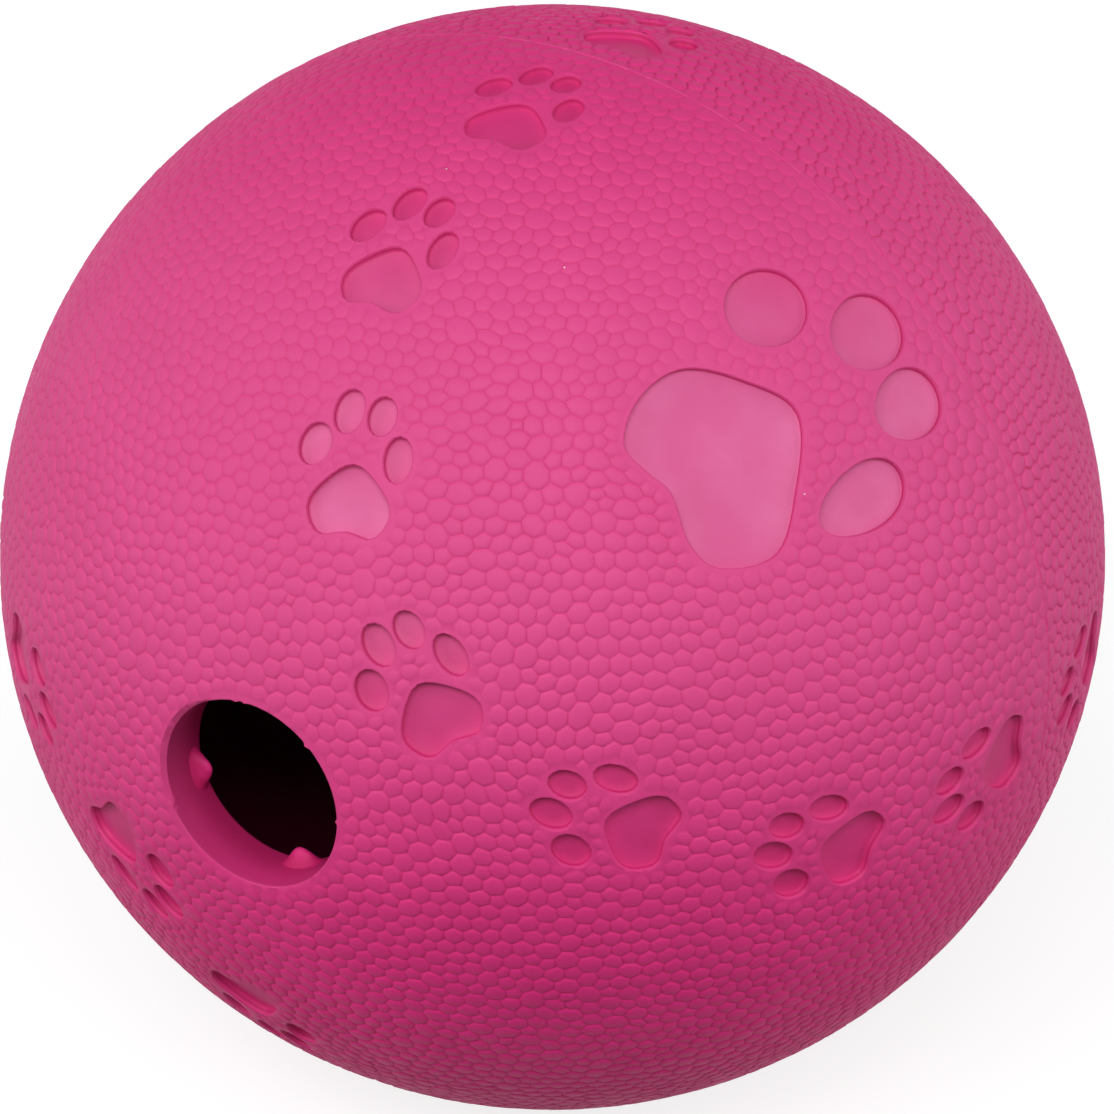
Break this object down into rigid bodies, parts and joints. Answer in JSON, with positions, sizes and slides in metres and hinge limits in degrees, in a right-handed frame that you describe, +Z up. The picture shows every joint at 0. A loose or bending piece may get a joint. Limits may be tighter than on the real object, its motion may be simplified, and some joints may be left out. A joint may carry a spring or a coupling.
{
  "type": "treat dispensing dog ball",
  "caption": "Hollow rubber dog ball with a cobbled skin, sunken paw prints, a round treat hole and springy lugs that hold treats back.",
  "frame": {"origin": "centre of the ball", "axes": "+Y along the treat hole's axis, from the hole through the ball to its back; the hole looks along -Y; +Z up as the ball lies in the picture"},
  "size_m": [0.0902, 0.0892, 0.0902],
  "materials": {
    "shell_rubber": "satin pink natural rubber with a fine cobbled grain",
    "bond_rubber": "smooth bonded seam in the same pink rubber",
    "lug_rubber": "smooth satin pink rubber"
  },
  "bodies": {
    "ball": {"front_half_shell": "shell_rubber", "rear_half_shell": "shell_rubber", "seam_bond": "bond_rubber"},
    "lug_1": {"retaining_lug_1": "lug_rubber"},
    "lug_2": {"retaining_lug_2": "lug_rubber"},
    "lug_3": {"retaining_lug_3": "lug_rubber"},
    "lug_4": {"retaining_lug_4": "lug_rubber"}
  },
  "joints": [
    {"name": "lug_flex_1", "type": "hinge", "parent": "ball", "child": "lug_1", "pos_m": [-0.0022, -0.04121, 0.00821], "axis": [0.9659, 0, 0.2588], "range_deg": [-18, 18], "stiffness_Nm_per_rad": 0.002},
    {"name": "lug_flex_2", "type": "hinge", "parent": "ball", "child": "lug_2", "pos_m": [-0.00821, -0.04121, -0.0022], "axis": [-0.2588, 0, 0.9659], "range_deg": [-18, 18], "stiffness_Nm_per_rad": 0.002},
    {"name": "lug_flex_3", "type": "hinge", "parent": "ball", "child": "lug_3", "pos_m": [0.0022, -0.04121, -0.00821], "axis": [-0.9659, 0, -0.2588], "range_deg": [-18, 18], "stiffness_Nm_per_rad": 0.002},
    {"name": "lug_flex_4", "type": "hinge", "parent": "ball", "child": "lug_4", "pos_m": [0.00821, -0.04121, 0.0022], "axis": [0.2588, 0, -0.9659], "range_deg": [-18, 18], "stiffness_Nm_per_rad": 0.002}
  ]
}
